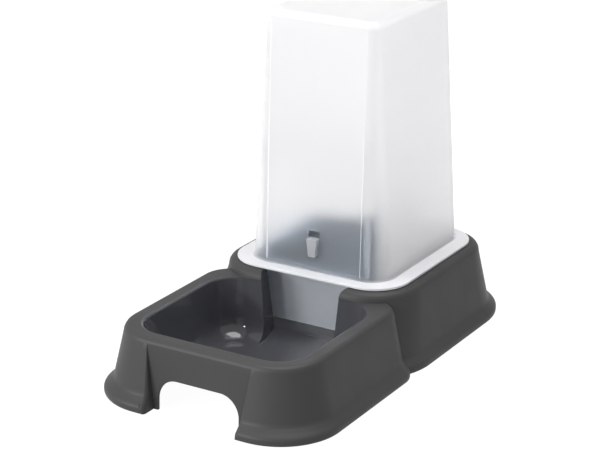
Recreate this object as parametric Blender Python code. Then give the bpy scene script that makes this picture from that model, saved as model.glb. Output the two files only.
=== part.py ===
"""Gravity pet feeder: dark moulded base with a bowl, a frosted hopper and a sliding flow gate.

Metres, +Z up.  The bowl faces -Y, the feeder is symmetric in X, and the origin is
the centre of its footprint on the floor.
"""
import math

import bmesh
import bpy
from mathutils import Matrix

# Resolution of rounded corners
CORNER_STEPS = 9
PAD_STEPS = 32

# Rounded-rectangle sections of the base: (height, half width, front y, rear y, corner radius)
REAR_SECTIONS = (
    (0.0006, 0.0988, -0.0458, 0.1766, 0.0598),
    (0.0020, 0.0996, -0.0466, 0.1774, 0.0604),
    (0.0045, 0.0997, -0.0467, 0.1775, 0.0605),
    (0.0067, 0.0989, -0.0459, 0.1765, 0.0597),
    (0.0090, 0.0966, -0.0440, 0.1738, 0.0574),
    (0.0110, 0.0949, -0.0425, 0.1712, 0.0558),
    (0.0126, 0.0939, -0.0416, 0.1695, 0.0546),
    (0.0150, 0.0933, -0.0409, 0.1684, 0.0540),
    (0.0530, 0.0862, -0.0200, 0.1572, 0.0439),
    (0.0576, 0.0854, -0.0188, 0.1564, 0.0427),
    (0.0604, 0.0834, -0.0168, 0.1542, 0.0402),
    (0.0621, 0.0798, -0.0132, 0.1504, 0.0361),
)
FRONT_REAR_Y = -0.0050
FRONT_SECTIONS = (
    (0.0006, 0.0994, -0.1766, FRONT_REAR_Y, 0.0493),
    (0.0020, 0.1002, -0.1774, FRONT_REAR_Y, 0.0501),
    (0.0045, 0.1003, -0.1775, FRONT_REAR_Y, 0.0502),
    (0.0067, 0.0993, -0.1765, FRONT_REAR_Y, 0.0494),
    (0.0090, 0.0970, -0.1741, FRONT_REAR_Y, 0.0479),
    (0.0110, 0.0953, -0.1722, FRONT_REAR_Y, 0.0469),
    (0.0126, 0.0941, -0.1709, FRONT_REAR_Y, 0.0462),
    (0.0150, 0.0932, -0.1700, FRONT_REAR_Y, 0.0457),
    (0.0460, 0.0864, -0.1628, FRONT_REAR_Y, 0.0394),
    (0.0510, 0.0854, -0.1617, FRONT_REAR_Y, 0.0384),
    (0.0538, 0.0837, -0.1600, FRONT_REAR_Y, 0.0367),
    (0.0549, 0.0810, -0.1573, FRONT_REAR_Y, 0.0342),
)
FRONT_REAR_RADIUS = 0.020
SHELL_WALL = 0.0022

# Bowl, from its floor up past the rim
BOWL_SECTIONS = (
    (0.0050, 0.0530, -0.0965, -0.0361, 0.0075),
    (0.0064, 0.0591, -0.1010, -0.0300, 0.0136),
    (0.0100, 0.0642, -0.1060, -0.0249, 0.0185),
    (0.0150, 0.0673, -0.1115, -0.0217, 0.0215),
    (0.0220, 0.0686, -0.1184, -0.0203, 0.0229),
    (0.0530, 0.0708, -0.1470, -0.0192, 0.0250),
    (0.0543, 0.0716, -0.1480, -0.0192, 0.0257),
    (0.0551, 0.0734, -0.1498, -0.0193, 0.0272),
)
BOWL_CLEAR_TOP = 0.0700

# Throat between the bowl and the chute: its sides splay towards the rear
THROAT_FRONT_Y = -0.0400
THROAT_MOUTH_Y = -0.0200
THROAT_SILL_Y = -0.0145
THROAT_REAR_Y = 0.0047
THROAT_FLOOR = 0.00505
THROAT_SILL = 0.0056
# Height, half width at the mouth, half width at the rear
THROAT_SIDES = (
    (0.0000, 0.0297, 0.0370),
    (0.0012, 0.0312, 0.0384),
    (0.0510, 0.0354, 0.0446),
    (0.0567, 0.0359, 0.0452),
)

# Chute under the hopper: same section layout as above
CHUTE_SECTIONS = (
    (THROAT_SILL, 0.0470, 0.0040, 0.0120, 0.0030),
    (0.0485, 0.0618, 0.0015, 0.1384, 0.0190),
    (0.0650, 0.0618, 0.0015, 0.1384, 0.0190),
)

# Recessed front panel with its finger notch
PANEL_TOP_Z = 0.0500
PANEL_TOP_Y = -0.1617
PANEL_BOTTOM_Y = -0.1640
PANEL_HALF_TOP = 0.0456
PANEL_HALF_BOTTOM = 0.0394
PANEL_EDGE_RADIUS = 0.0038
PANEL_LEAST_DEPTH = 0.0005
# Height and front face of the wall beside the panel
PANEL_LEVELS = (
    (-0.0100, -0.1775),
    (0.0045, -0.1775),
    (0.0090, -0.1741),
    (0.0126, -0.1709),
    (0.0460, -0.1628),
    (0.0540, -0.1609),
)
NOTCH_HALF = 0.0356
NOTCH_TOP = 0.0265
NOTCH_RADIUS = 0.0165

# Tabs and non-slip pads
TAB_LOW = 0.0030
TAB_HIGH = 0.0052
FRONT_TAB = (0.0640, 0.1000, -0.1340, -0.1060)
REAR_TAB = (0.0580, 0.1000, 0.1220, 0.1620)
PAD_RADIUS = 0.0070
PAD_HEIGHT = 0.0027
PAD_EDGE = 0.0005
PAD_CENTRES = {
    "pad_front_left": (-0.0810, -0.1200),
    "pad_front_right": (0.0810, -0.1200),
    "pad_rear_left": (-0.0740, 0.1400),
    "pad_rear_right": (0.0740, 0.1400),
}

# Hopper
FLANGE_LOW = 0.0624
FLANGE_HIGH = 0.0646
FLANGE_HALF = 0.0765
FLANGE_FRONT_Y = -0.0115
FLANGE_REAR_Y = 0.1468
FLANGE_RADIUS = 0.0303
FLANGE_EDGE = 0.0006
HOPPER_FOOT = (0.0660, 0.0625, 0.0006, 0.1391, 0.0194)
HOPPER_HEAD = (0.2683, 0.0494, 0.0092, 0.1329, 0.0090)
HOPPER_FILLET = 0.0014
HOPPER_CROWN = ((-0.0045, 0.0), (-0.0018, 0.0007), (0.0003, 0.0022), (0.0016, 0.0048))
HOPPER_WALL = 0.0018
SPIGOT_LOW = 0.0500
SPIGOT_HALF = 0.0614
SPIGOT_RING_Y = 0.0019
SPIGOT_FRONT_Y = 0.0120
SPIGOT_REAR_Y = 0.1380
SPIGOT_RADIUS = 0.0186
SPIGOT_WALL = 0.0016
FRONT_PANEL_HALF = 0.0425
FRONT_PANEL_LOW = 0.0672
FRONT_PANEL_HIGH = 0.2645
FRONT_PANEL_DEPTH = 0.0005

# Guide rails inside the hopper's front wall
RAIL_INNER = 0.0425
RAIL_OUTER = 0.0476
RAIL_BACK_Y = 0.0088
RAIL_TOP = 0.1950
CHANNEL_OUTER = 0.0459
CHANNEL_BACK_Y = 0.0074
CHANNEL_TOP = 0.1220

# Slot for the grip: half widths at its foot and head
SLOT_LOW = 0.0760
SLOT_HIGH = 0.0975
SLOT_HALF_LOW = 0.0036
SLOT_HALF_HIGH = 0.0058

# Flow gate
GATE_HALF = 0.0456
GATE_FRONT_Y = 0.0050
GATE_BACK_Y = 0.0068
GATE_LOW = 0.0155
GATE_HIGH = 0.1080
GATE_CHAMFER = 0.0040
GRIP_LOW = 0.0764
GRIP_HIGH = 0.0912
GRIP_HALF_LOW = 0.0032
GRIP_HALF_HIGH = 0.0047
GRIP_FRONT_Y = -0.0012

# Reach of cutting shapes past what they cut
OVERCUT = 0.0500
MERGE = 0.00001


def clear_scene():
    for obj in list(bpy.data.objects):
        bpy.data.objects.remove(obj, do_unlink=True)


def material(name, colour, roughness, alpha=1.0):
    mat = bpy.data.materials.new(name)
    mat.use_nodes = True
    shader = mat.node_tree.nodes["Principled BSDF"]
    shader.inputs["Base Color"].default_value = (*colour, 1.0)
    shader.inputs["Roughness"].default_value = roughness
    shader.inputs["Alpha"].default_value = alpha
    mat.diffuse_color = (*colour, alpha)
    return mat


def new_object(name, verts, faces):
    mesh = bpy.data.meshes.new(name)
    mesh.from_pydata(verts, [], faces)
    mesh.update()
    obj = bpy.data.objects.new(name, mesh)
    bpy.context.collection.objects.link(obj)
    face_out(obj)
    return obj


def face_out(obj):
    bm = bmesh.new()
    bm.from_mesh(obj.data)
    bmesh.ops.recalc_face_normals(bm, faces=bm.faces[:])
    bm.to_mesh(obj.data)
    bm.free()


def section_points(section, rear_radius=None):
    """Points of one rounded rectangle, anticlockwise seen from above."""
    z, half, front, rear, radius = section
    back = radius if rear_radius is None else rear_radius
    corners = (
        (half - radius, front + radius, radius, -90.0),
        (half - back, rear - back, back, 0.0),
        (back - half, rear - back, back, 90.0),
        (radius - half, front + radius, radius, 180.0),
    )
    points = []
    for cx, cy, r, start in corners:
        for i in range(CORNER_STEPS + 1):
            angle = math.radians(start + 90.0 * i / CORNER_STEPS)
            points.append((cx + r * math.cos(angle), cy + r * math.sin(angle), z))
    return points


def loft(name, sections, rear_radius=None):
    """Closed solid through a stack of rounded rectangles, lowest first."""
    verts = []
    for section in sections:
        verts.extend(section_points(section, rear_radius))
    count = len(verts) // len(sections)
    faces = [tuple(range(count))[::-1]]
    for level in range(len(sections) - 1):
        low = level * count
        for i in range(count):
            j = (i + 1) % count
            faces.append((low + i, low + j, low + count + j, low + count + i))
    faces.append(tuple(range(len(verts) - count, len(verts))))
    return new_object(name, verts, faces)


def grown(section, amount, lift=0.0):
    z, half, front, rear, radius = section
    return (z + lift, half + amount, front - amount, rear + amount, radius + amount)


def prism_y(name, outline, y_front, y_rear):
    """Solid from an (x, z) outline swept from one y to another."""
    count = len(outline)
    verts = [(x, y_front, z) for x, z in outline]
    verts += [(x, y_rear, z) for x, z in outline]
    faces = [tuple(range(count)), tuple(range(count, 2 * count))[::-1]]
    for i in range(count):
        j = (i + 1) % count
        faces.append((i, i + count, j + count, j))
    return new_object(name, verts, faces)


def box(name, low, high):
    outline = [(low[0], low[2]), (high[0], low[2]), (high[0], high[2]), (low[0], high[2])]
    return prism_y(name, outline, low[1], high[1])


def combine(target, other, operation):
    """Apply one exact boolean and drop the second shape."""
    other.hide_render = True
    other.display_type = "WIRE"
    modifier = target.modifiers.new(operation, "BOOLEAN")
    modifier.object = other
    modifier.operation = operation
    modifier.solver = "EXACT"
    depsgraph = bpy.context.evaluated_depsgraph_get()
    mesh = bpy.data.meshes.new_from_object(target.evaluated_get(depsgraph))
    target.modifiers.clear()
    target.data = mesh
    bpy.data.objects.remove(other, do_unlink=True)


def union(target, *others):
    for other in others:
        combine(target, other, "UNION")


def cut(target, *others):
    for other in others:
        combine(target, other, "DIFFERENCE")


def finish(obj, mat, smooth_angle=35.0):
    """Weld, turn outward, shade smooth below the angle and give the piece its material."""
    bm = bmesh.new()
    bm.from_mesh(obj.data)
    bmesh.ops.remove_doubles(bm, verts=bm.verts[:], dist=MERGE)
    bmesh.ops.dissolve_degenerate(bm, edges=bm.edges[:], dist=MERGE)
    bmesh.ops.recalc_face_normals(bm, faces=bm.faces[:])
    limit = math.radians(smooth_angle)
    for face in bm.faces:
        face.smooth = True
    for edge in bm.edges:
        edge.smooth = len(edge.link_faces) == 2 and edge.calc_face_angle(0.0) < limit
    bm.to_mesh(obj.data)
    bm.free()
    obj.data.name = obj.name
    obj.data.materials.clear()
    obj.data.materials.append(mat)


def throat(name, grow=0.0):
    """Splayed passage from the bowl to the chute, open at the top."""
    mouth = [row[1] for row in THROAT_SIDES]
    rear = [row[2] for row in THROAT_SIDES]
    share = (THROAT_SILL_Y - THROAT_MOUTH_Y) / (THROAT_REAR_Y - THROAT_MOUTH_Y)
    sill = [a + (b - a) * share for a, b in zip(mouth, rear)]
    stations = (
        (THROAT_FRONT_Y, THROAT_FLOOR, mouth),
        (THROAT_MOUTH_Y, THROAT_FLOOR, mouth),
        (THROAT_SILL_Y, THROAT_FLOOR, sill),
        (THROAT_REAR_Y + 0.0010 + grow, THROAT_SILL, rear),
    )
    verts = []
    for y, floor, halves in stations:
        right = []
        for row, half in zip(THROAT_SIDES, halves):
            lift = -grow if row[0] < 0.0100 else 0.0
            right.append((half + grow, y, floor + row[0] + lift))
        right.append((halves[-1] + grow, y, BOWL_CLEAR_TOP))
        verts.extend(right)
        verts.extend([(-x, y, z) for x, y, z in reversed(right)])
    count = len(verts) // len(stations)
    last = len(verts) - count
    faces = [tuple(range(count)), tuple(range(last, len(verts)))[::-1]]
    for level in range(len(stations) - 1):
        low = level * count
        for i in range(count):
            j = (i + 1) % count
            faces.append((low + i, low + count + i, low + count + j, low + j))
    return new_object(name, verts, faces)


def bowl(name, grow=0.0):
    sections = [grown(s, grow, -grow) for s in BOWL_SECTIONS]
    z, half, front, rear, radius = sections[-1]
    sections.append((BOWL_CLEAR_TOP, half, front, rear, radius))
    return loft(name, sections)


def chute(name, grow=0.0):
    sections = [grown(s, grow, -grow) for s in CHUTE_SECTIONS]
    return loft(name, sections)


def recess(name, grow=0.0):
    """Space in front of the recessed panel, flaring round its side edges."""
    slope = (PANEL_TOP_Y - PANEL_BOTTOM_Y) / PANEL_TOP_Z
    taper = (PANEL_HALF_TOP - PANEL_HALF_BOTTOM) / PANEL_TOP_Z
    verts = []
    for z, wall in PANEL_LEVELS:
        back = PANEL_BOTTOM_Y + slope * z + grow
        half = PANEL_HALF_BOTTOM + taper * z + grow
        face = min(wall, back - PANEL_LEAST_DEPTH)
        radius = min(PANEL_EDGE_RADIUS, 0.8 * (back - face))
        right = [(half, back, z)]
        for i in range(CORNER_STEPS + 1):
            angle = math.radians(90.0 * i / CORNER_STEPS)
            x = half + radius * (1.0 - math.cos(angle))
            right.append((x, face + radius * (1.0 - math.sin(angle)), z))
        right.append((half + radius, face - 0.0300, z))
        verts.extend([(-x, y, z) for x, y, z in reversed(right)])
        verts.extend(right)
    count = len(verts) // len(PANEL_LEVELS)
    faces = [tuple(range(count)), tuple(range(len(verts) - count, len(verts)))[::-1]]
    for level in range(len(PANEL_LEVELS) - 1):
        low = level * count
        for i in range(count):
            j = (i + 1) % count
            faces.append((low + i, low + count + i, low + count + j, low + j))
    return new_object(name, verts, faces)


def notch(name):
    """Finger notch: flat top with round shoulders."""
    outline = [(-NOTCH_HALF, -OVERCUT), (NOTCH_HALF, -OVERCUT)]
    centre_x = NOTCH_HALF - NOTCH_RADIUS
    centre_z = NOTCH_TOP - NOTCH_RADIUS
    for side, start in ((1.0, 0.0), (-1.0, 90.0)):
        for i in range(CORNER_STEPS + 1):
            angle = math.radians(start + 90.0 * i / CORNER_STEPS)
            x = side * centre_x + NOTCH_RADIUS * math.cos(angle)
            outline.append((x, centre_z + NOTCH_RADIUS * math.sin(angle)))
    return prism_y(name, outline, -0.2500, -0.1550)


def tabs():
    """Small shelves on the skirt's inside that hold the pads."""
    shapes = []
    for low_x, high_x, front, rear in (FRONT_TAB, REAR_TAB):
        for side in (-1.0, 1.0):
            xs = sorted((side * low_x, side * high_x))
            shapes.append(box("tab", (xs[0], front, TAB_LOW), (xs[1], rear, TAB_HIGH)))
    return shapes


def front_inner_sections():
    sections = []
    for z, half, front, rear, radius in FRONT_SECTIONS:
        sections.append(grown((z - SHELL_WALL, half, front, rear, radius), -SHELL_WALL))
    return sections


def base_shell(mat):
    """One moulding: plinth, bowl, throat, chute and skirt, open underneath."""
    shell = loft("base_shell", REAR_SECTIONS)
    union(shell, loft("front", FRONT_SECTIONS, FRONT_REAR_RADIUS))

    hollow = loft("hollow", [grown(s, -SHELL_WALL, -SHELL_WALL) for s in REAR_SECTIONS])
    union(hollow, loft("front_hollow", front_inner_sections(), FRONT_REAR_RADIUS - SHELL_WALL))
    # The two hollows meet through the wall between them.
    join_low = (-0.0600, -0.0400, -0.0010)
    join_high = (0.0600, 0.0100, 0.0480)
    union(hollow, box("join", join_low, join_high))
    cut(hollow, bowl("bowl_skin", SHELL_WALL), throat("throat_skin", SHELL_WALL))
    cut(hollow, chute("chute_skin", SHELL_WALL), recess("panel_skin", SHELL_WALL))
    cut(hollow, *tabs())

    cut(shell, hollow)
    cut(shell, bowl("bowl"), throat("throat"), chute("chute"))
    cut(shell, recess("recess"), notch("notch"))
    finish(shell, mat)
    return shell


def hopper_sections(inset=0.0):
    """Hopper walls from the flange to the crown, inset by the wall on the inside."""
    low = grown(HOPPER_FOOT, -inset)
    high = grown(HOPPER_HEAD, -inset)
    span = HOPPER_HEAD[0] - HOPPER_FOOT[0]

    def at(z, squeeze=0.0):
        t = (z - HOPPER_FOOT[0]) / span
        values = [a + (b - a) * t for a, b in zip(low[1:], high[1:])]
        return grown((z, *values), -squeeze)

    sections = [at(FLANGE_HIGH - 0.0010, -HOPPER_FILLET), at(FLANGE_HIGH, -HOPPER_FILLET)]
    sections.append(at(HOPPER_FOOT[0]))
    for rise, squeeze in HOPPER_CROWN:
        sections.append(at(HOPPER_HEAD[0] + rise - inset, squeeze))
    if inset:
        mouth = (SPIGOT_HALF, SPIGOT_RING_Y, SPIGOT_REAR_Y, SPIGOT_RADIUS)
        sections[0] = grown((SPIGOT_LOW - OVERCUT, *mouth), -SPIGOT_WALL)
        sections[1] = grown((FLANGE_LOW, *mouth), -SPIGOT_WALL)
    return sections


def rail(side):
    """Guide rail with a channel for the gate's edge, solid above the gate's reach."""
    xs = sorted((side * RAIL_INNER, side * RAIL_OUTER))
    shape = box("rail", (xs[0], -0.0050, HOPPER_FOOT[0]), (xs[1], RAIL_BACK_Y, RAIL_TOP))
    xs = sorted((side * (RAIL_INNER - 0.0050), side * CHANNEL_OUTER))
    channel_low = (xs[0], -0.0100, HOPPER_FOOT[0] - 0.0100)
    cut(shape, box("channel", channel_low, (xs[1], CHANNEL_BACK_Y, CHANNEL_TOP)))
    combine(shape, loft("hopper_inside", hopper_sections(HOPPER_WALL * 0.5)), "INTERSECT")
    return shape


def front_recess():
    """Shallow panel on the hopper's front face, parallel to it."""
    lean = (HOPPER_HEAD[2] - HOPPER_FOOT[2]) / (HOPPER_HEAD[0] - HOPPER_FOOT[0])
    verts = []
    for z in (FRONT_PANEL_LOW, FRONT_PANEL_HIGH):
        back = HOPPER_FOOT[2] + lean * (z - HOPPER_FOOT[0]) + FRONT_PANEL_DEPTH
        verts.extend([(-FRONT_PANEL_HALF, back - 0.0100, z), (FRONT_PANEL_HALF, back - 0.0100, z)])
        verts.extend([(FRONT_PANEL_HALF, back, z), (-FRONT_PANEL_HALF, back, z)])
    faces = [(3, 2, 1, 0), (4, 5, 6, 7), (0, 1, 5, 4), (1, 2, 6, 5), (2, 3, 7, 6), (3, 0, 4, 7)]
    return new_object("front_recess", verts, faces)


def hopper(mat):
    """Frosted container, closed on top and open below, on a seating flange."""
    outer = (FLANGE_HALF, FLANGE_FRONT_Y, FLANGE_REAR_Y, FLANGE_RADIUS)
    levels = ((FLANGE_LOW, -FLANGE_EDGE), (FLANGE_LOW + FLANGE_EDGE, 0.0))
    levels += ((FLANGE_HIGH - FLANGE_EDGE, 0.0), (FLANGE_HIGH, -FLANGE_EDGE))
    body = loft("hopper", [grown((z, *outer), amount) for z, amount in levels])
    union(body, loft("walls", hopper_sections()))

    skirt = (SPIGOT_HALF, SPIGOT_RING_Y, SPIGOT_REAR_Y, SPIGOT_RADIUS)
    spigot = loft("spigot", [(SPIGOT_LOW, *skirt), (FLANGE_LOW + 0.0005, *skirt)])
    cut(spigot, box("spigot_front", (-0.1, -0.1, 0.0), (0.1, SPIGOT_FRONT_Y, 0.1)))
    union(body, spigot)

    cut(body, loft("inside", hopper_sections(HOPPER_WALL)))
    union(body, rail(-1.0), rail(1.0))
    cut(body, front_recess())
    slot = [(-SLOT_HALF_LOW, SLOT_LOW), (SLOT_HALF_LOW, SLOT_LOW)]
    slot += [(SLOT_HALF_HIGH, SLOT_HIGH), (-SLOT_HALF_HIGH, SLOT_HIGH)]
    cut(body, prism_y("slot", slot, -0.0100, 0.0100))
    finish(body, mat)
    return body


def flow_gate(mat):
    """Sliding plate that throttles the throat, with a grip through the hopper's slot."""
    half = GATE_HALF
    c = GATE_CHAMFER
    outline = [(-half + c, GATE_LOW), (half - c, GATE_LOW), (half, GATE_LOW + c)]
    outline += [(half, GATE_HIGH - c), (half - c, GATE_HIGH), (-half + c, GATE_HIGH)]
    outline += [(-half, GATE_HIGH - c), (-half, GATE_LOW + c)]
    plate = prism_y("flow_gate", outline, GATE_FRONT_Y, GATE_BACK_Y)
    grip = [(-GRIP_HALF_LOW, GRIP_LOW), (GRIP_HALF_LOW, GRIP_LOW)]
    grip += [(GRIP_HALF_HIGH, GRIP_HIGH), (-GRIP_HALF_HIGH, GRIP_HIGH)]
    union(plate, prism_y("grip", grip, GRIP_FRONT_Y, GATE_FRONT_Y + 0.0005))
    finish(plate, mat)
    return plate


def pad(name, centre, mat):
    """Round non-slip pad with an eased lower edge."""
    levels = ((0.0, PAD_RADIUS - PAD_EDGE), (PAD_EDGE, PAD_RADIUS), (PAD_HEIGHT, PAD_RADIUS))
    verts = []
    for z, radius in levels:
        for i in range(PAD_STEPS):
            angle = 2.0 * math.pi * i / PAD_STEPS
            verts.append((centre[0] + radius * math.cos(angle), centre[1] + radius * math.sin(angle), z))
    faces = [tuple(range(PAD_STEPS))[::-1]]
    for level in range(len(levels) - 1):
        low = level * PAD_STEPS
        for i in range(PAD_STEPS):
            j = (i + 1) % PAD_STEPS
            faces.append((low + i, low + j, low + PAD_STEPS + j, low + PAD_STEPS + i))
    faces.append(tuple(range(len(verts) - PAD_STEPS, len(verts))))
    obj = new_object(name, verts, faces)
    finish(obj, mat, 50.0)
    return obj


def set_origin(obj, point):
    """Move an object's origin without moving its shape."""
    obj.data.transform(Matrix.Translation([-c for c in point]))
    obj.location = point


def attach(child, parent):
    """Parent a piece and keep it where it is."""
    child.parent = parent
    child.matrix_parent_inverse = Matrix.Translation([-c for c in parent.location])


def main():
    clear_scene()
    base = base_shell(material("base_plastic", (0.075, 0.075, 0.078), 0.45))
    box_top = hopper(material("hopper_plastic", (0.86, 0.86, 0.88), 0.40, 0.55))
    set_origin(box_top, (0.0, (FLANGE_FRONT_Y + FLANGE_REAR_Y) / 2.0, FLANGE_LOW))
    attach(box_top, base)
    gate = flow_gate(material("gate_plastic", (0.55, 0.58, 0.62), 0.30, 0.60))
    set_origin(gate, (0.0, GATE_FRONT_Y, GATE_LOW))
    attach(gate, box_top)
    rubber = material("pad_rubber", (0.03, 0.03, 0.03), 0.85)
    for name, centre in PAD_CENTRES.items():
        attach(pad(name, centre, rubber), base)


main()
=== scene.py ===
"""Looks of the gravity pet feeder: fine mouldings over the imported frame, materials, studio and camera.

Metres, +Z up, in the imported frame: the bowl faces -Y and the feeder is symmetric in X.
"""
import math

import bmesh
import bpy
from mathutils import Matrix, Vector


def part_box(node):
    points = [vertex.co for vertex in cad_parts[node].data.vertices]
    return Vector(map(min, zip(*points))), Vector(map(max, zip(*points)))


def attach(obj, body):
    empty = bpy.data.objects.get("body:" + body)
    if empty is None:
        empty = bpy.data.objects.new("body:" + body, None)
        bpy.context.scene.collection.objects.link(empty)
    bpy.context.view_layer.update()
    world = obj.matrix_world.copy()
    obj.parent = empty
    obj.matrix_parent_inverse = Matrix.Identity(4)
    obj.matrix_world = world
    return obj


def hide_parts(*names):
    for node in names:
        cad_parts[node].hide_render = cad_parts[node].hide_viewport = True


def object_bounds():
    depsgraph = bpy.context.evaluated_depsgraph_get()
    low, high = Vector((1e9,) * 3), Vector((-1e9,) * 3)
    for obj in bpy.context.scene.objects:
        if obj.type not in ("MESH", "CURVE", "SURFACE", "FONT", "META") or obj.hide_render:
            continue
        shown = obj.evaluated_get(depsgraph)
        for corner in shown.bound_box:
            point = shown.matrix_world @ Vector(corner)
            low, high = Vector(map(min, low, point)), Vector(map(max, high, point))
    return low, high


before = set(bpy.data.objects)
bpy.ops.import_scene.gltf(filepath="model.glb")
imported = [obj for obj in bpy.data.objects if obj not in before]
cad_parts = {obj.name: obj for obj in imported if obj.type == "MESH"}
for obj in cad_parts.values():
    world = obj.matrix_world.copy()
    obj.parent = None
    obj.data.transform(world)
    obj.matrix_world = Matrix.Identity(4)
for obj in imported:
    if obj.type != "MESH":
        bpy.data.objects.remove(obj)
CAD_LOW, CAD_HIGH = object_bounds()

# Steps round a quarter corner, steps and longest height of an eased span, steps of a small eased edge
CORNER_STEPS = 20
EASE_STEPS = 3
EASED_SPAN = 0.0045
EDGE_STEPS = 4
# Vertices closer than this are one; edges flatter than this are smooth
MERGE = 0.00001
SMOOTH_ANGLE = math.radians(32.0)
LARGE_FACE_WEIGHT = 60
# How far a cutting shape runs past the surface it opens, and how far a joined shape sinks in
OVERCUT = 0.0500
OVERLAP = 0.0005

# Rounded-rectangle sections of the base: (height, half width, front y, rear y, corner radius)
REAR_SECTIONS = (
    (0.0006, 0.0988, -0.0458, 0.1766, 0.0598),
    (0.0020, 0.0996, -0.0466, 0.1774, 0.0604),
    (0.0045, 0.0997, -0.0467, 0.1775, 0.0605),
    (0.0067, 0.0989, -0.0459, 0.1765, 0.0597),
    (0.0090, 0.0966, -0.0440, 0.1738, 0.0574),
    (0.0110, 0.0949, -0.0425, 0.1712, 0.0558),
    (0.0126, 0.0939, -0.0416, 0.1695, 0.0546),
    (0.0150, 0.0933, -0.0409, 0.1684, 0.0540),
    (0.0530, 0.0862, -0.0200, 0.1572, 0.0439),
    (0.0576, 0.0854, -0.0188, 0.1564, 0.0427),
    (0.0604, 0.0834, -0.0168, 0.1542, 0.0402),
    (0.0621, 0.0798, -0.0132, 0.1504, 0.0361),
)
FRONT_REAR_Y = -0.0050
FRONT_SECTIONS = (
    (0.0006, 0.0994, -0.1766, FRONT_REAR_Y, 0.0493),
    (0.0020, 0.1002, -0.1774, FRONT_REAR_Y, 0.0501),
    (0.0045, 0.1003, -0.1775, FRONT_REAR_Y, 0.0502),
    (0.0067, 0.0993, -0.1765, FRONT_REAR_Y, 0.0494),
    (0.0090, 0.0970, -0.1741, FRONT_REAR_Y, 0.0479),
    (0.0110, 0.0953, -0.1722, FRONT_REAR_Y, 0.0469),
    (0.0126, 0.0941, -0.1709, FRONT_REAR_Y, 0.0462),
    (0.0150, 0.0932, -0.1700, FRONT_REAR_Y, 0.0457),
    (0.0460, 0.0864, -0.1628, FRONT_REAR_Y, 0.0394),
    (0.0510, 0.0854, -0.1617, FRONT_REAR_Y, 0.0384),
    (0.0538, 0.0837, -0.1600, FRONT_REAR_Y, 0.0367),
    (0.0549, 0.0810, -0.1573, FRONT_REAR_Y, 0.0342),
)
FRONT_REAR_RADIUS = 0.020
SHELL_WALL = 0.0022

# Bowl, from its floor up past the rim
BOWL_SECTIONS = (
    (0.0050, 0.0530, -0.0965, -0.0361, 0.0075),
    (0.0064, 0.0591, -0.1010, -0.0300, 0.0136),
    (0.0100, 0.0642, -0.1060, -0.0249, 0.0185),
    (0.0150, 0.0673, -0.1115, -0.0217, 0.0215),
    (0.0220, 0.0686, -0.1184, -0.0203, 0.0229),
    (0.0530, 0.0708, -0.1470, -0.0192, 0.0250),
    (0.0543, 0.0716, -0.1480, -0.0192, 0.0257),
    (0.0551, 0.0734, -0.1498, -0.0193, 0.0272),
)
BOWL_CLEAR_TOP = 0.0700
BOWL_EASED_SPAN = 0.0080

# Throat between the bowl and the chute: its sides splay towards the rear
THROAT_FRONT_Y = -0.0400
THROAT_MOUTH_Y = -0.0200
THROAT_SILL_Y = -0.0145
THROAT_REAR_Y = 0.0047
THROAT_FLOOR = 0.00505
THROAT_SILL = 0.0056
# Sill's run under the chute, so that the two spaces meet
THROAT_RUN_ON = 0.0010
# Rows below this height belong to the floor
THROAT_FOOT = 0.0100
# Height, half width at the mouth, half width at the rear
THROAT_SIDES = (
    (0.0000, 0.0297, 0.0370),
    (0.0012, 0.0312, 0.0384),
    (0.0510, 0.0354, 0.0446),
    (0.0567, 0.0359, 0.0452),
)

# Chute under the hopper: same section layout as above
CHUTE_SECTIONS = (
    (THROAT_SILL, 0.0470, 0.0040, 0.0120, 0.0030),
    (0.0485, 0.0618, 0.0015, 0.1384, 0.0190),
    (0.0650, 0.0618, 0.0015, 0.1384, 0.0190),
)

# Opening in the wall between the front and rear hollows, under the throat
JOIN_LOW = (-0.0600, -0.0400, -0.0010)
JOIN_HIGH = (0.0600, 0.0100, 0.0480)

# Recessed front panel with its finger notch
PANEL_TOP_Z = 0.0500
PANEL_TOP_Y = -0.1617
PANEL_BOTTOM_Y = -0.1640
PANEL_HALF_TOP = 0.0456
PANEL_HALF_BOTTOM = 0.0394
PANEL_LEAST_DEPTH = 0.0005
PANEL_REACH = 0.0300
# Rounding at its sides, and the most of its depth which that may take
PANEL_EDGE_RADIUS = 0.0038
PANEL_EDGE_SHARE = 0.8
# Height and front face of the wall beside the panel
PANEL_LEVELS = (
    (-0.0100, -0.1775),
    (0.0045, -0.1775),
    (0.0090, -0.1741),
    (0.0126, -0.1709),
    (0.0460, -0.1628),
    (0.0540, -0.1609),
)
# Finger notch: half width, height, shoulder radius, easing of its front edge and depth of the cut
NOTCH_HALF = 0.0356
NOTCH_TOP = 0.0265
NOTCH_RADIUS = 0.0165
NOTCH_EDGE = 0.0006
NOTCH_REACH = 0.0060

# Shelves on the skirt's inside that hold the pads: (x from, x to, y from, y to)
TAB_LOW = 0.0030
TAB_HIGH = 0.0052
TABS = ((0.0640, 0.1000, -0.1340, -0.1060), (0.0580, 0.1000, 0.1220, 0.1620))

# Hopper's seating flange: (half width, front y, rear y, corner radius), and the easing of its edges
FLANGE_LOW = 0.0624
FLANGE_HIGH = 0.0646
FLANGE = (0.0765, -0.0115, 0.1468, 0.0303)
FLANGE_EDGE = 0.0006
# Hopper's walls, straight from a foot section above the flange to a head section near the crown
HOPPER_FOOT = (0.0660, 0.0625, 0.0006, 0.1391, 0.0194)
HOPPER_HEAD = (0.2683, 0.0494, 0.0092, 0.1329, 0.0090)
HOPPER_RISE = HOPPER_HEAD[0] - HOPPER_FOOT[0]
HOPPER_LEAN = (HOPPER_HEAD[2] - HOPPER_FOOT[2]) / HOPPER_RISE
HOPPER_WALL = 0.0018
# Its fillet on the flange, and how far that starts inside the flange
HOPPER_FILLET = 0.0014
HOPPER_FILLET_SINK = 0.0010
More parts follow.
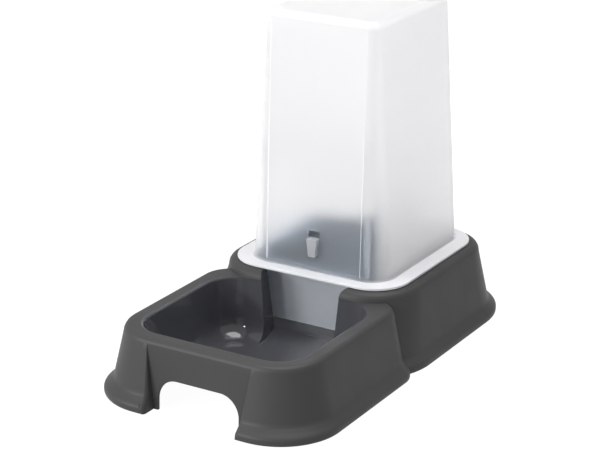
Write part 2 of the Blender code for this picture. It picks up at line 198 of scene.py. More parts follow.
# Its crown: height over the head section, and inset from the walls
HOPPER_CROWN = ((-0.0045, 0.0), (-0.0018, 0.0007), (0.0003, 0.0022), (0.0016, 0.0048))
# Spigot under the flange, laid out like the flange, and open in front for the gate
SPIGOT_LOW = 0.0500
SPIGOT = (0.0614, 0.0019, 0.1380, 0.0186)
SPIGOT_FRONT_Y = 0.0120
SPIGOT_WALL = 0.0016
SPIGOT_CUT_REACH = 0.1
# Shallow panel on the front wall with sloped edges
FRONT_PANEL_HALF = 0.0425
FRONT_PANEL_LOW = 0.0672
FRONT_PANEL_HIGH = 0.2645
FRONT_PANEL_DEPTH = 0.0005
FRONT_PANEL_SLOPE = 0.0006
CUTTER_REACH = 0.0100

# The hopper's clear zone, low in its front wall: where it starts to fade, measured back from the
# front face, and the length of that fade
CLEAR_DEPTH = -0.0010
CLEAR_FADE = 0.0120
# Its upper edge follows the lower of two sloping lines, which cross on the middle plane
CLEAR_TOP = 0.1000
CLEAR_TOP_SLOPE = 0.12
CLEAR_LEFT_SLOPE = 0.73
CLEAR_TOP_FADE = 0.0225
CLEAR_TRANSMISSION = 0.955
CLEAR_TINT = (0.88, 0.93, 0.99, 1.0)
HAZY_TRANSMISSION = 0.80
HAZY_ROUGHNESS = 0.30
# Painted shade: the front wall is painted greyer towards its top, and the hopper's top is painted grey
# all over
SHADE_PAINT_LOW = 0.0850
SHADE_PAINT_HIGH = 0.1750
SHADE_PAINT_CROWN = (0.2660, 0.2690)
PAINTED_SHADE_TINT = (0.83, 0.825, 0.83, 1.0)

# Guide rails inside the hopper's front wall, with a channel for the gate; the wall trims their fronts
RAIL_INNER = 0.0425
RAIL_OUTER = 0.0476
RAIL_FRONT_Y = -0.0050
RAIL_BACK_Y = 0.0088
RAIL_TOP = 0.1950
CHANNEL_INNER = 0.0375
CHANNEL_OUTER = 0.0459
CHANNEL_FRONT_Y = -0.0100
CHANNEL_BACK_Y = 0.0074
CHANNEL_LOW = 0.0560
CHANNEL_TOP = 0.1220

# Slot for the grip: half widths at its foot and head
SLOT_LOW = 0.0760
SLOT_HIGH = 0.0975
SLOT_HALF_LOW = 0.0036
SLOT_HALF_HIGH = 0.0058

# Flow gate
GATE_FRONT_Y = 0.0050
GATE_CHAMFER = 0.0040
GATE_THICKNESS = 0.0018
GRIP_LOW = 0.0764
GRIP_HIGH = 0.0912
GRIP_HALF_LOW = 0.0032
GRIP_HALF_HIGH = 0.0047
GATE_EDGE = 0.0003
# The plate is frosted below the flange and clears above it
GATE_FADE = 0.0080
TONGUE_TRANSMISSION = 0.77
PLATE_TRANSMISSION = 0.97
PLATE_TINT = (0.87, 0.925, 0.985, 1.0)

# Pads: steps round the rim, rounding at its foot, bevel at its head
PAD_STEPS = 64
PAD_EDGE = 0.0005
PAD_BEVEL = 0.0002
# Sole's flat core, first ring and pitch of the rings, as shares of the pad's radius
PAD_CORE = 0.15
GROOVE_FIRST = 0.25
GROOVE_PITCH = 0.2
# Rings moulded in the sole, and their section
PAD_GROOVES = 3
GROOVE_WIDTH = 0.0008
GROOVE_DEPTH = 0.0003
GROOVE_SLOPE = 0.0002

# Noise levels at which a plastic takes its dark and light colour, the gloss noise's scale over the
# colour noise's, and the gloss noise's levels
MOTTLE_STOPS = (0.35, 0.65)
SMUDGE_SCALE = 2.7
SMUDGE_SPAN = (0.3, 0.7)

# Floor: how far it reaches from the middle, and its own glow
FLOOR_REACH = 6.0
FLOOR_GLOW = 0.97

# Lights: the sky's strength, then each key light's direction and size, then the top light
SKY_STRENGTH = 0.72
KEY_LIGHTS = ((-0.66, -0.68, 0.32, 0.36), (-0.53, -0.79, 0.32, 0.36), (-0.23, -0.92, 0.32, 0.36))
KEY_DISTANCE = 2.2
KEY_POWER = 16.5
TOP_LIGHT_PLACE = (0.1, 0.0, 1.8)
TOP_LIGHT_SIZE = 1.4
TOP_LIGHT_POWER = 35.0

# Camera: its place, the direction it is seen from in degrees, its focal length and sensor width in mm
CAMERA_PLACE = (0.7684, -1.2836, 0.6481)
CAMERA_AZIMUTH = 31.27
CAMERA_ELEVATION = 20.0
CAMERA_LENS = 121.6
CAMERA_SENSOR = 36.0


def new_object(name, verts, faces):
    mesh = bpy.data.meshes.new(name)
    mesh.from_pydata(verts, [], faces)
    mesh.update()
    obj = bpy.data.objects.new(name, mesh)
    bpy.context.scene.collection.objects.link(obj)
    bm = bmesh.new()
    bm.from_mesh(mesh)
    bmesh.ops.recalc_face_normals(bm, faces=bm.faces[:])
    bm.to_mesh(mesh)
    bm.free()
    return obj


def eased(sections, longest=EASED_SPAN):
    """Extra sections on a smooth curve wherever two neighbours are close together."""
    dense = []
    last = len(sections) - 1
    for i in range(last):
        dense.append(sections[i])
        if sections[i + 1][0] - sections[i][0] > longest:
            continue
        around = [sections[max(i - 1, 0)], sections[i], sections[i + 1], sections[min(i + 2, last)]]
        if around[1][0] - around[0][0] > longest:
            around[0] = tuple(a + (a - b) * 0.5 for a, b in zip(around[1], around[2]))
        if around[3][0] - around[2][0] > longest:
            around[3] = tuple(a + (a - b) * 0.5 for a, b in zip(around[2], around[1]))
        for step in range(1, EASE_STEPS):
            dense.append(catmull_rom(around, step / EASE_STEPS))
    dense.append(sections[last])
    return dense


def catmull_rom(around, t):
    values = []
    for a, b, c, d in zip(*around):
        cubic = 3.0 * (b - c) + d - a
        square = 2.0 * a - 5.0 * b + 4.0 * c - d
        value = b + 0.5 * t * ((c - a) + t * (square + t * cubic))
        values.append(min(max(value, min(b, c)), max(b, c)))
    return tuple(values)


def section_points(section, rear_radius=None):
    """Points of one rounded rectangle, anticlockwise seen from above."""
    z, half, front, rear, radius = section
    back = radius if rear_radius is None else rear_radius
    corners = (
        (half - radius, front + radius, radius, -90.0),
        (half - back, rear - back, back, 0.0),
        (back - half, rear - back, back, 90.0),
        (radius - half, front + radius, radius, 180.0),
    )
    points = []
    for cx, cy, r, start in corners:
        for i in range(CORNER_STEPS + 1):
            angle = math.radians(start + 90.0 * i / CORNER_STEPS)
            points.append((cx + r * math.cos(angle), cy + r * math.sin(angle), z))
    return points


def skin(name, rings):
    """Closed solid through rings of equal length."""
    count = len(rings[0])
    verts = [point for ring in rings for point in ring]
    faces = [tuple(range(count))[::-1]]
    for level in range(len(rings) - 1):
        low = level * count
        for i in range(count):
            j = (i + 1) % count
            faces.append((low + i, low + j, low + count + j, low + count + i))
    faces.append(tuple(range(len(verts) - count, len(verts))))
    return new_object(name, verts, faces)


def loft(name, sections, rear_radius=None):
    return skin(name, [section_points(s, rear_radius) for s in sections])


def grown(section, amount, lift=0.0):
    z, half, front, rear, radius = section
    return (z + lift, half + amount, front - amount, rear + amount, radius + amount)


def prism_y(name, outline, y_front, y_rear):
    """Solid from an (x, z) outline swept from one y to another."""
    return skin(name, [[(x, y, z) for x, z in outline] for y in (y_front, y_rear)])


def box(name, low, high):
    outline = [(low[0], low[2]), (high[0], low[2]), (high[0], high[2]), (low[0], high[2])]
    return prism_y(name, outline, low[1], high[1])


def combine(target, other, operation):
    """Apply one exact boolean, keeping each side's material, and drop the second shape."""
    modifier = target.modifiers.new(operation, "BOOLEAN")
    modifier.object = other
    modifier.operation = operation
    modifier.solver = "EXACT"
    modifier.material_mode = "TRANSFER"
    depsgraph = bpy.context.evaluated_depsgraph_get()
    mesh = bpy.data.meshes.new_from_object(target.evaluated_get(depsgraph))
    target.modifiers.clear()
    target.data = mesh
    bpy.data.objects.remove(other, do_unlink=True)


def union(target, *others):
    for other in others:
        combine(target, other, "UNION")


def cut(target, *others):
    for other in others:
        combine(target, other, "DIFFERENCE")


def painted(obj, mat):
    obj.data.materials.clear()
    obj.data.materials.append(mat)
    return obj


def finish(obj):
    """Weld, face outward and shade smooth, with normals led by the large faces."""
    bm = bmesh.new()
    bm.from_mesh(obj.data)
    bmesh.ops.remove_doubles(bm, verts=bm.verts[:], dist=MERGE)
    bmesh.ops.dissolve_degenerate(bm, edges=bm.edges[:], dist=MERGE)
    bmesh.ops.recalc_face_normals(bm, faces=bm.faces[:])
    for face in bm.faces:
        face.smooth = True
    for edge in bm.edges:
        edge.smooth = len(edge.link_faces) == 2 and edge.calc_face_angle(0.0) < SMOOTH_ANGLE
    bm.to_mesh(obj.data)
    bm.free()
    obj.data.name = obj.name
    normals = obj.modifiers.new("normals", "WEIGHTED_NORMAL")
    normals.keep_sharp = True
    normals.weight = LARGE_FACE_WEIGHT


def stand_for(obj, node, body):
    """Centre the piece on its CAD node's box, ride it on the body and hide the node."""
    low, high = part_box(node)
    corners = [Vector(c) for c in obj.bound_box]
    centre = (corners[0] + corners[6]) / 2.0
    obj.data.transform(Matrix.Translation((low + high) / 2.0 - centre))
    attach(obj, body)
    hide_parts(node)


def throat(name, grow=0.0):
    """Splayed passage from the bowl to the chute, open at the top."""
    mouth = [row[1] for row in THROAT_SIDES]
    rear = [row[2] for row in THROAT_SIDES]
    share = (THROAT_SILL_Y - THROAT_MOUTH_Y) / (THROAT_REAR_Y - THROAT_MOUTH_Y)
    sill = [a + (b - a) * share for a, b in zip(mouth, rear)]
    stations = (
        (THROAT_FRONT_Y, THROAT_FLOOR, mouth),
        (THROAT_MOUTH_Y, THROAT_FLOOR, mouth),
        (THROAT_SILL_Y, THROAT_FLOOR, sill),
        (THROAT_REAR_Y + THROAT_RUN_ON + grow, THROAT_SILL, rear),
    )
    rings = []
    for y, floor, halves in stations:
        right = []
        for row, half in zip(THROAT_SIDES, halves):
            lift = -grow if row[0] < THROAT_FOOT else 0.0
            right.append((half + grow, y, floor + row[0] + lift))
        right.append((halves[-1] + grow, y, BOWL_CLEAR_TOP))
        rings.append(right + [(-x, y, z) for x, y, z in reversed(right)])
    return skin(name, rings)


def bowl(name, grow=0.0):
    sections = [grown(s, grow, -grow) for s in eased(BOWL_SECTIONS, BOWL_EASED_SPAN)]
    z, half, front, rear, radius = sections[-1]
    sections.append((BOWL_CLEAR_TOP, half, front, rear, radius))
    return loft(name, sections)


def chute(name, grow=0.0):
    return loft(name, [grown(s, grow, -grow) for s in CHUTE_SECTIONS])


def panel_face_y(z):
    return PANEL_BOTTOM_Y + (PANEL_TOP_Y - PANEL_BOTTOM_Y) * z / PANEL_TOP_Z


def recess(name, grow=0.0):
    """Space in front of the recessed panel, flaring round its side edges."""
    taper = (PANEL_HALF_TOP - PANEL_HALF_BOTTOM) / PANEL_TOP_Z
    rings = []
    for z, wall in PANEL_LEVELS:
        back = panel_face_y(z) + grow
        half = PANEL_HALF_BOTTOM + taper * z + grow
        face = min(wall, back - PANEL_LEAST_DEPTH)
        radius = min(PANEL_EDGE_RADIUS, PANEL_EDGE_SHARE * (back - face))
        right = [(half, back, z)]
        for i in range(CORNER_STEPS + 1):
            angle = math.radians(90.0 * i / CORNER_STEPS)
            x = half + radius * (1.0 - math.cos(angle))
            right.append((x, face + radius * (1.0 - math.sin(angle)), z))
        right.append((half + radius, face - PANEL_REACH, z))
        rings.append([(-x, y, z) for x, y, z in reversed(right)] + right)
    return skin(name, rings)


def notch_outline(grow):
    half = NOTCH_HALF + grow
    top = NOTCH_TOP + grow
    radius = NOTCH_RADIUS + grow
    outline = [(-half, -OVERCUT), (half, -OVERCUT)]
    for side, start in ((1.0, 0.0), (-1.0, 90.0)):
        for i in range(CORNER_STEPS + 1):
            angle = math.radians(start + 90.0 * i / CORNER_STEPS)
            x = side * (half - radius) + radius * math.cos(angle)
            outline.append((x, top - radius + radius * math.sin(angle)))
    return outline


def notch(name):
    """Finger notch with round shoulders and an eased front edge that follows the panel."""
    stations = [(-OVERCUT, NOTCH_EDGE), (0.0, NOTCH_EDGE)]
    for i in range(1, EDGE_STEPS + 1):
        angle = math.radians(90.0 * i / EDGE_STEPS)
        depth = NOTCH_EDGE * (1.0 - math.cos(angle))
        stations.append((depth, NOTCH_EDGE * (1.0 - math.sin(angle))))
    stations.append((NOTCH_REACH, 0.0))
    rings = []
    for depth, grow in stations:
        rings.append([(x, panel_face_y(z) + depth, z) for x, z in notch_outline(grow)])
    return skin(name, rings)


def tabs():
    shapes = []
    for low_x, high_x, front, rear in TABS:
        for side in (-1.0, 1.0):
            xs = sorted((side * low_x, side * high_x))
            shapes.append(box("tab", (xs[0], front, TAB_LOW), (xs[1], rear, TAB_HIGH)))
    return shapes


def base_moulding(satin, gloss):
    """Plinth, bowl, throat, chute and skirt, open underneath; the food side is polished, and its colour
    is painted lighter than the outside as painted light.
    """
    front_sections = eased(FRONT_SECTIONS)
    rear_sections = eased(REAR_SECTIONS)
    shell = painted(loft("base_moulding", rear_sections), satin)
    union(shell, painted(loft("front", front_sections, FRONT_REAR_RADIUS), satin))

    hollow = loft("hollow", [grown(s, -SHELL_WALL, -SHELL_WALL) for s in rear_sections])
    inner = [grown(s, -SHELL_WALL, -SHELL_WALL) for s in front_sections]
    union(hollow, loft("front_hollow", inner, FRONT_REAR_RADIUS - SHELL_WALL))
    union(hollow, box("join", JOIN_LOW, JOIN_HIGH))
    cut(hollow, bowl("bowl_skin", SHELL_WALL), throat("throat_skin", SHELL_WALL))
    cut(hollow, chute("chute_skin", SHELL_WALL), recess("panel_skin", SHELL_WALL))
    cut(hollow, *tabs())

    cut(shell, painted(hollow, satin))
    for food_side in (bowl("bowl"), throat("throat"), chute("chute")):
        cut(shell, painted(food_side, gloss))
    cut(shell, painted(recess("recess"), satin), painted(notch("notch"), satin))
    finish(shell)
    stand_for(shell, "base_shell", "base")


def hopper_sections(inset=0.0):
    """Hopper walls from the flange to the crown, inset by the wall on the inside."""
    low = grown(HOPPER_FOOT, -inset)
    high = grown(HOPPER_HEAD, -inset)

    def at(z, squeeze=0.0):
        t = (z - HOPPER_FOOT[0]) / HOPPER_RISE
        values = [a + (b - a) * t for a, b in zip(low[1:], high[1:])]
        return grown((z, *values), -squeeze)

    sections = [at(FLANGE_HIGH - HOPPER_FILLET_SINK, -HOPPER_FILLET)]
    sections += [at(FLANGE_HIGH, -HOPPER_FILLET), at(HOPPER_FOOT[0])]
    crown = [at(HOPPER_HEAD[0] + rise - inset, squeeze) for rise, squeeze in HOPPER_CROWN]
    sections.extend(eased(crown))
    if inset:
        sections[0] = grown((SPIGOT_LOW - OVERCUT, *SPIGOT), -SPIGOT_WALL)
        sections[1] = grown((FLANGE_LOW, *SPIGOT), -SPIGOT_WALL)
    return sections


def rail(side):
    """Guide rail with a channel for the gate's edge, solid above the gate's reach."""
    xs = sorted((side * RAIL_INNER, side * RAIL_OUTER))
    shape = box("rail", (xs[0], RAIL_FRONT_Y, HOPPER_FOOT[0]), (xs[1], RAIL_BACK_Y, RAIL_TOP))
    xs = sorted((side * CHANNEL_INNER, side * CHANNEL_OUTER))
    channel_low = (xs[0], CHANNEL_FRONT_Y, CHANNEL_LOW)
    cut(shape, box("channel", channel_low, (xs[1], CHANNEL_BACK_Y, CHANNEL_TOP)))
    combine(shape, loft("hopper_inside", hopper_sections(HOPPER_WALL * 0.5)), "INTERSECT")
    return shape


def front_recess(frosted, highlight_mat):
    """Cutter for the shallow panel on the hopper's front face, with sloped edges that carry a painted
    highlight.
    """
    rings = []
    slope = FRONT_PANEL_SLOPE
    for depth, grow in ((-CUTTER_REACH, slope), (0.0, slope), (FRONT_PANEL_DEPTH, 0.0)):
        half = FRONT_PANEL_HALF + grow
        low = FRONT_PANEL_LOW - grow
        high = FRONT_PANEL_HIGH + grow
        outline = [(-half, low), (half, low), (half, high), (-half, high)]
        rings.append([(x, hopper_front_y(z) + depth, z) for x, z in outline])
    cutter = painted(skin("front_recess", rings), highlight_mat)
    cutter.data.materials.append(frosted)
    # The panel's face and its foot keep the wall's own plastic.
    for face in cutter.data.polygons:
        if abs(face.normal.y) > 0.95 or face.normal.z < -0.3:
            face.material_index = 1
    return cutter


def hopper_front_y(z):
    return HOPPER_FOOT[2] + HOPPER_LEAN * (z - HOPPER_FOOT[0])


def hopper_shell(frosted, highlight_mat, flange_mat):
    """Frosted container, closed on top and open below, on a seating flange."""
    levels = ((FLANGE_LOW, -FLANGE_EDGE), (FLANGE_LOW + FLANGE_EDGE * 0.3, -FLANGE_EDGE * 0.3))
    levels += ((FLANGE_LOW + FLANGE_EDGE, 0.0), (FLANGE_HIGH - FLANGE_EDGE, 0.0))
    levels += ((FLANGE_HIGH - FLANGE_EDGE * 0.3, -FLANGE_EDGE * 0.3), (FLANGE_HIGH, -FLANGE_EDGE))
    flange = [grown((z, *FLANGE), amount) for z, amount in levels]
    shell = painted(loft("hopper_shell", flange), flange_mat)
    union(shell, painted(loft("walls", hopper_sections()), frosted))

    spigot = loft("spigot", [(SPIGOT_LOW, *SPIGOT), (FLANGE_LOW + OVERLAP, *SPIGOT)])
    reach = SPIGOT_CUT_REACH
    cut(spigot, box("spigot_front", (-reach, -reach, 0.0), (reach, SPIGOT_FRONT_Y, reach)))
    union(shell, painted(spigot, frosted))

    cut(shell, painted(loft("inside", hopper_sections(HOPPER_WALL)), frosted))
    union(shell, painted(rail(-1.0), frosted), painted(rail(1.0), frosted))
    cut(shell, front_recess(frosted, highlight_mat))
    slot = [(-SLOT_HALF_LOW, SLOT_LOW), (SLOT_HALF_LOW, SLOT_LOW)]
    slot += [(SLOT_HALF_HIGH, SLOT_HIGH), (-SLOT_HALF_HIGH, SLOT_HIGH)]
    slot_cutter = painted(prism_y("slot", slot, -CUTTER_REACH, CUTTER_REACH), frosted)
    slot_cutter.data.materials.append(highlight_mat)
    # Only the slot's top carries the painted highlight.
    for face in slot_cutter.data.polygons:
        if face.normal.z > 0.5:
            face.material_index = 1
    cut(shell, slot_cutter)
    finish(shell)
    stand_for(shell, "hopper", "hopper")


def gate_plate(smoky, grip_mat):
    """Sliding plate with a raised grip and eased edges."""
    low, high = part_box("flow_gate")
    half = high.x
    c = GATE_CHAMFER
    outline = [(-half + c, low.z), (half - c, low.z), (half, low.z + c), (half, high.z - c)]
    outline += [(half - c, high.z), (-half + c, high.z), (-half, high.z - c), (-half, low.z + c)]
    plate = prism_y("gate_plate", outline, GATE_FRONT_Y, GATE_FRONT_Y + GATE_THICKNESS)
    grip = [(-GRIP_HALF_LOW, GRIP_LOW), (GRIP_HALF_LOW, GRIP_LOW)]
    grip += [(GRIP_HALF_HIGH, GRIP_HIGH), (-GRIP_HALF_HIGH, GRIP_HIGH)]
    painted(plate, smoky)
    union(plate, painted(prism_y("grip", grip, low.y, GATE_FRONT_Y + OVERLAP), grip_mat))
    edges = plate.modifiers.new("edges", "BEVEL")
    edges.width = GATE_EDGE
    edges.segments = 2
    edges.limit_method = "ANGLE"
    finish(plate)
    stand_for(plate, "flow_gate", "gate")


def rubber_pad(node, rubber):
    """Round pad with an eased rim and shallow rings moulded in its sole."""
    low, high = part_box(node)
    centre = (low + high) / 2.0
    radius = (high.x - low.x) / 2.0
    profile = [(radius * PAD_CORE, low.z)]
    for groove in range(PAD_GROOVES):
        start = radius * (GROOVE_FIRST + GROOVE_PITCH * groove)
        end = start + GROOVE_WIDTH
        roof = low.z + GROOVE_DEPTH
        profile += [(start, low.z), (start + GROOVE_SLOPE, roof)]
        profile += [(end - GROOVE_SLOPE, roof), (end, low.z)]
    for i in range(EDGE_STEPS + 1):
        angle = math.radians(90.0 * i / EDGE_STEPS)
        edge_r = radius - PAD_EDGE + PAD_EDGE * math.sin(angle)
        profile.append((edge_r, low.z + PAD_EDGE - PAD_EDGE * math.cos(angle)))
    profile += [(radius, high.z - PAD_BEVEL), (radius - PAD_BEVEL, high.z)]
    rings = []
    for r, z in profile:
        ring = []
        for i in range(PAD_STEPS):
            angle = 2.0 * math.pi * i / PAD_STEPS
            ring.append((centre.x + r * math.cos(angle), centre.y + r * math.sin(angle), z))
        rings.append(ring)
    pad = painted(skin(node.replace("pad_", "rubber_pad_"), rings), rubber)
    finish(pad)
    stand_for(pad, node, "base")


def add_node(mat, kind, place, **values):
    node = mat.node_tree.nodes.new(kind)
    node.location = place
    for name, value in values.items():
        if name in node.inputs:
            node.inputs[name].default_value = value
        else:
            setattr(node, name, value)
    return node


def noise(mat, where, place, scale, detail):
    node = add_node(mat, "ShaderNodeTexNoise", place, Scale=scale, Detail=detail)
    mat.node_tree.links.new(where, node.inputs["Vector"])
    return node.outputs["Fac"]


def ramp_between(mat, source, place, start, end, low, high, easing="SMOOTHSTEP"):
    """Map range node that goes from low at start to high at end."""
    node = add_node(mat, "ShaderNodeMapRange", place, interpolation_type=easing)
    node.inputs["From Min"].default_value = start
    node.inputs["From Max"].default_value = end
    node.inputs["To Min"].default_value = low
    node.inputs["To Max"].default_value = high
    mat.node_tree.links.new(source, node.inputs["Value"])
    return node.outputs["Result"]


def plastic(name, dark, light, mottle, rough, grain, relief):
    """Principled material: mottled colour, uneven gloss and a fine moulded grain."""
    mat = bpy.data.materials.new(name)
    mat.use_nodes = True
    links = mat.node_tree.links
    shader = mat.node_tree.nodes["Principled BSDF"]
    where = add_node(mat, "ShaderNodeTexCoord", (-900, 0)).outputs["Object"]

    ramp = add_node(mat, "ShaderNodeValToRGB", (-450, 200))
    for stop, place, colour in zip(ramp.color_ramp.elements, MOTTLE_STOPS, (dark, light)):
        stop.position = place
        stop.color = (*colour, 1.0)
    links.new(noise(mat, where, (-700, 200), mottle, 4.0), ramp.inputs["Fac"])
    links.new(ramp.outputs["Color"], shader.inputs["Base Color"])

    smudge = noise(mat, where, (-700, -100), mottle * SMUDGE_SCALE, 6.0)
    gloss = ramp_between(mat, smudge, (-450, -100), *SMUDGE_SPAN, *rough, easing="LINEAR")
    links.new(gloss, shader.inputs["Roughness"])

    bump = add_node(mat, "ShaderNodeBump", (-450, -400), Strength=1.0, Distance=relief)
    links.new(noise(mat, where, (-700, -400), grain, 2.0), bump.inputs["Height"])
    links.new(bump.outputs["Normal"], shader.inputs["Normal"])
    return mat, shader


def base_satin():
    mat, shader = plastic("base_satin", (0.0310, 0.0310, 0.0315), (0.0350, 0.0350, 0.0355),
                          mottle=14.0, rough=(0.46, 0.54), grain=1400.0, relief=0.00002)
    shader.inputs["Specular IOR Level"].default_value = 0.18
    return mat


def base_gloss_painted_light():
    # The polished food side is painted lighter and bluer than the satin outside: painted light in the
    # bowl.
    mat, shader = plastic("base_gloss_painted_light", (0.044, 0.045, 0.051), (0.050, 0.051, 0.057),
                          mottle=11.0, rough=(0.07, 0.11), grain=700.0, relief=0.000003)
    shader.inputs["Specular IOR Level"].default_value = 0.45
    return mat


def maths(mat, operation, place, first, second):
    node = add_node(mat, "ShaderNodeMath", place, operation=operation)
    for socket, value in zip(node.inputs, (first, second)):
        if isinstance(value, float):
            socket.default_value = value
        else:
            mat.node_tree.links.new(value, socket)
    return node.outputs["Value"]


def mixed(mat, place, share, first, second):
    """Blend from the first colour to the second; each is a colour or a socket."""
    node = add_node(mat, "ShaderNodeMixRGB", place)
    mat.node_tree.links.new(share, node.inputs["Fac"])
    for name, colour in (("Color1", first), ("Color2", second)):
        if isinstance(colour, tuple):
            node.inputs[name].default_value = colour
        else:
            mat.node_tree.links.new(colour, node.inputs[name])
    return node.outputs["Color"]


def local_axes(mat):
    where = add_node(mat, "ShaderNodeTexCoord", (-1500, 600))
    axes = add_node(mat, "ShaderNodeSeparateXYZ", (-1300, 600))
    mat.node_tree.links.new(where.outputs["Object"], axes.inputs["Vector"])
    return axes.outputs


def behind_front(mat, axes):
    """Near 0 on the hopper's front face, rising to 1 behind it."""
    rise = maths(mat, "MULTIPLY", (-1100, 500), axes["Z"], -HOPPER_LEAN)
    depth = maths(mat, "ADD", (-900, 600), axes["Y"], rise)
    start = hopper_front_y(0.0) + CLEAR_DEPTH
    return ramp_between(mat, depth, (-700, 600), start, start + CLEAR_FADE, 0.0, 1.0)


def above_clear(mat, axes):
    """0 below both of the clear zone's upper lines, rising to 1 above either."""
    top_line = maths(mat, "MULTIPLY", (-1100, 300), axes["X"], -CLEAR_TOP_SLOPE)
    left_line = maths(mat, "MULTIPLY", (-1100, 100), axes["X"], -CLEAR_LEFT_SLOPE)
    past_top = maths(mat, "ADD", (-950, 300), axes["Z"], top_line)
    past_left = maths(mat, "ADD", (-950, 100), axes["Z"], left_line)
    past = maths(mat, "MAXIMUM", (-800, 200), past_top, past_left)
    return ramp_between(mat, past, (-700, 400), CLEAR_TOP, CLEAR_TOP + CLEAR_TOP_FADE, 0.0, 1.0)


def painted_shade_share(mat, axes, behind):
    """Share of painted shade: rises up the front wall, and is 1 on the crown."""
    upper = ramp_between(mat, axes["Z"], (-700, 0), SHADE_PAINT_LOW, SHADE_PAINT_HIGH, 0.0, 1.0)
    front = ramp_between(mat, behind, (-500, 0), 0.0, 1.0, 1.0, 0.0)
    front_upper = maths(mat, "MULTIPLY", (-300, 0), upper, front)
    crown = ramp_between(mat, axes["Z"], (-700, -200), *SHADE_PAINT_CROWN, 0.0, 1.0)
    return maths(mat, "MAXIMUM", (-200, 0), front_upper, crown)


def hopper_frosted():
    """Hazy all round, and clearer low in the front wall, where the food shows; painted shade greys its
    upper front and its crown.
    """
    mat, shader = plastic("hopper_frosted", (0.95, 0.95, 0.96), (0.98, 0.98, 0.985),
                          mottle=9.0, rough=(0.30, 0.34), grain=900.0, relief=0.000006)
    shader.inputs["IOR"].default_value = 1.40
    shader.inputs["Specular IOR Level"].default_value = 0.20
    links = mat.node_tree.links
    axes = local_axes(mat)
    behind = behind_front(mat, axes)
    either = maths(mat, "MAXIMUM", (-500, 500), behind, above_clear(mat, axes))
    # Below the flange the wall stays clear, so that the chute shows dark through it.
    over_flange = ramp_between(mat, axes["Z"], (-700, 200), FLANGE_LOW, FLANGE_HIGH, 0.0, 1.0)
    hazy = maths(mat, "MULTIPLY", (-400, 500), either, over_flange)

    share = ramp_between(mat, hazy, (-300, 600), 0.0, 1.0, CLEAR_TRANSMISSION, HAZY_TRANSMISSION)
    links.new(share, shader.inputs["Transmission Weight"])
    extra = ramp_between(mat, hazy, (-300, 350), 0.0, 1.0, 0.0, HAZY_ROUGHNESS)
    spread = shader.inputs["Roughness"].links[0].from_socket
    links.new(maths(mat, "ADD", (-100, 350), spread, extra), shader.inputs["Roughness"])

    colour = shader.inputs["Base Color"].links[0].from_socket
    bluer = mixed(mat, (-250, 150), hazy, CLEAR_TINT, colour)
    # The upper front wall and the crown take a grey tint: painted shade.
    shaded = mixed(mat, (-50, 100), painted_shade_share(mat, axes, behind), bluer, PAINTED_SHADE_TINT)
    links.new(shaded, shader.inputs["Base Color"])
    return mat


def hopper_painted_highlight():
    """Painted highlight on the panel's sloped edges and the slot's top: lighter than the wall."""
    mat, shader = plastic("hopper_painted_highlight", (0.97, 0.97, 0.98), (0.99, 0.99, 1.00),
                          mottle=20.0, rough=(0.40, 0.50), grain=900.0, relief=0.00001)
    shader.inputs["Transmission Weight"].default_value = 0.30
    return mat


def hopper_flange():
    """The seating flange, thicker and so whiter than the walls."""
    mat, shader = plastic("hopper_flange", (0.68, 0.68, 0.70), (0.72, 0.72, 0.74),
                          mottle=12.0, rough=(0.36, 0.44), grain=900.0, relief=0.000006)
    shader.inputs["Specular IOR Level"].default_value = 0.30
    shader.inputs["Transmission Weight"].default_value = 0.35
    return mat


def gate_smoky():
    """Frosted tongue, polished clear where the plate slides behind the hopper's wall."""
    mat, shader = plastic("gate_smoky", (0.78, 0.82, 0.87), (0.83, 0.87, 0.92),
                          mottle=16.0, rough=(0.29, 0.35), grain=900.0, relief=0.000006)
    shader.inputs["IOR"].default_value = 1.10
    shader.inputs["Specular IOR Level"].default_value = 0.35
    links = mat.node_tree.links
    axes = local_axes(mat)
    clear = ramp_between(mat, axes["Z"], (-700, 600), FLANGE_LOW, FLANGE_LOW + GATE_FADE, 0.0, 1.0)
    share = ramp_between(mat, clear, (-300, 600), 0.0, 1.0, TONGUE_TRANSMISSION, PLATE_TRANSMISSION)
    links.new(share, shader.inputs["Transmission Weight"])
    colour = shader.inputs["Base Color"].links[0].from_socket
    links.new(mixed(mat, (-100, 200), clear, colour, PLATE_TINT), shader.inputs["Base Color"])
    return mat


def gate_grip():
    """The grip's thicker, paler plastic."""
    mat, shader = plastic("gate_grip", (0.34, 0.35, 0.38), (0.40, 0.41, 0.44),
                          mottle=40.0, rough=(0.40, 0.48), grain=900.0, relief=0.000008)
    shader.inputs["Transmission Weight"].default_value = 0.35
    return mat


def pad_rubber():
    mat, shader = plastic("pad_rubber", (0.018, 0.018, 0.018), (0.032, 0.032, 0.032),
                          mottle=180.0, rough=(0.75, 0.92), grain=2600.0, relief=0.00006)
    shader.inputs["Specular IOR Level"].default_value = 0.35
    return mat


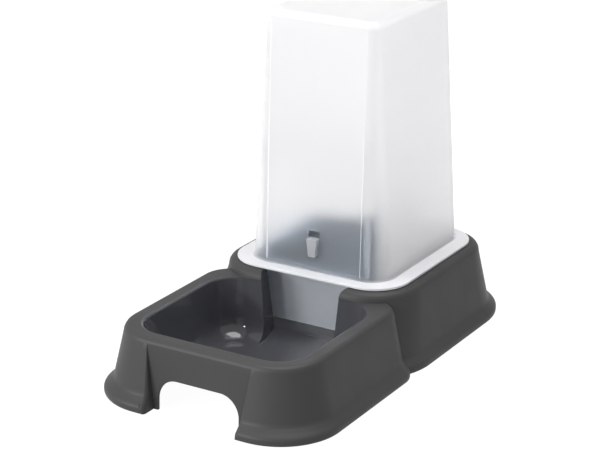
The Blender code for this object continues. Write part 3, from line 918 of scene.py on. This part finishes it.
def floor():
    """Pale lit table, far wider than the feeder."""
    signs = ((-1.0, -1.0), (1.0, -1.0), (1.0, 1.0), (-1.0, 1.0))
    corners = [(x * FLOOR_REACH, y * FLOOR_REACH, CAD_LOW.z) for x, y in signs]
    table = new_object("studio_floor", corners, [(0, 1, 2, 3)])
    mat, shader = plastic("floor_pale", (0.05, 0.05, 0.05), (0.07, 0.07, 0.07),
                          mottle=2.0, rough=(0.7, 0.8), grain=60.0, relief=0.0001)
    shader.inputs["Emission Color"].default_value = (1.0, 1.0, 1.0, 1.0)
    shader.inputs["Emission Strength"].default_value = FLOOR_GLOW
    painted(table, mat)


def area_light(name, place, target, size, power):
    lamp = bpy.data.lights.new(name, "AREA")
    lamp.shape = "DISK"
    lamp.size = size
    lamp.energy = power
    obj = bpy.data.objects.new(name, lamp)
    bpy.context.scene.collection.objects.link(obj)
    obj.location = place
    aim = Vector(target) - Vector(place)
    obj.rotation_mode = "QUATERNION"
    obj.rotation_quaternion = aim.to_track_quat("-Z", "Y")


def studio():
    world = bpy.data.worlds.new("studio_world")
    bpy.context.scene.world = world
    world.use_nodes = True
    sky = world.node_tree.nodes["Background"]
    sky.inputs["Color"].default_value = (1.0, 1.0, 1.0, 1.0)
    sky.inputs["Strength"].default_value = SKY_STRENGTH
    middle = (CAD_LOW + CAD_HIGH) / 2.0
    for number, (x, y, z, size) in enumerate(KEY_LIGHTS):
        place = middle + Vector((x, y, z)) * KEY_DISTANCE
        area_light(f"key_{number}", place, middle, size, KEY_POWER)
    area_light("top", TOP_LIGHT_PLACE, middle, TOP_LIGHT_SIZE, TOP_LIGHT_POWER)
    bpy.context.scene.view_settings.view_transform = "Standard"
    bpy.context.scene.view_settings.look = "None"


def camera():
    data = bpy.data.cameras.new("camera")
    data.sensor_width = CAMERA_SENSOR
    data.lens = CAMERA_LENS
    obj = bpy.data.objects.new("camera", data)
    bpy.context.scene.collection.objects.link(obj)
    azimuth = math.radians(CAMERA_AZIMUTH)
    elevation = math.radians(CAMERA_ELEVATION)
    back = Vector((math.sin(azimuth) * math.cos(elevation),
                   -math.cos(azimuth) * math.cos(elevation), math.sin(elevation)))
    obj.location = CAMERA_PLACE
    obj.rotation_mode = "QUATERNION"
    obj.rotation_quaternion = (-back).to_track_quat("-Z", "Y")
    bpy.context.scene.camera = obj


camera()
studio()
floor()
base_moulding(base_satin(), base_gloss_painted_light())
hopper_shell(hopper_frosted(), hopper_painted_highlight(), hopper_flange())
gate_plate(gate_smoky(), gate_grip())
rubber = pad_rubber()
for pad_node in sorted(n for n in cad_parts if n.startswith("pad_")):
    rubber_pad(pad_node, rubber)
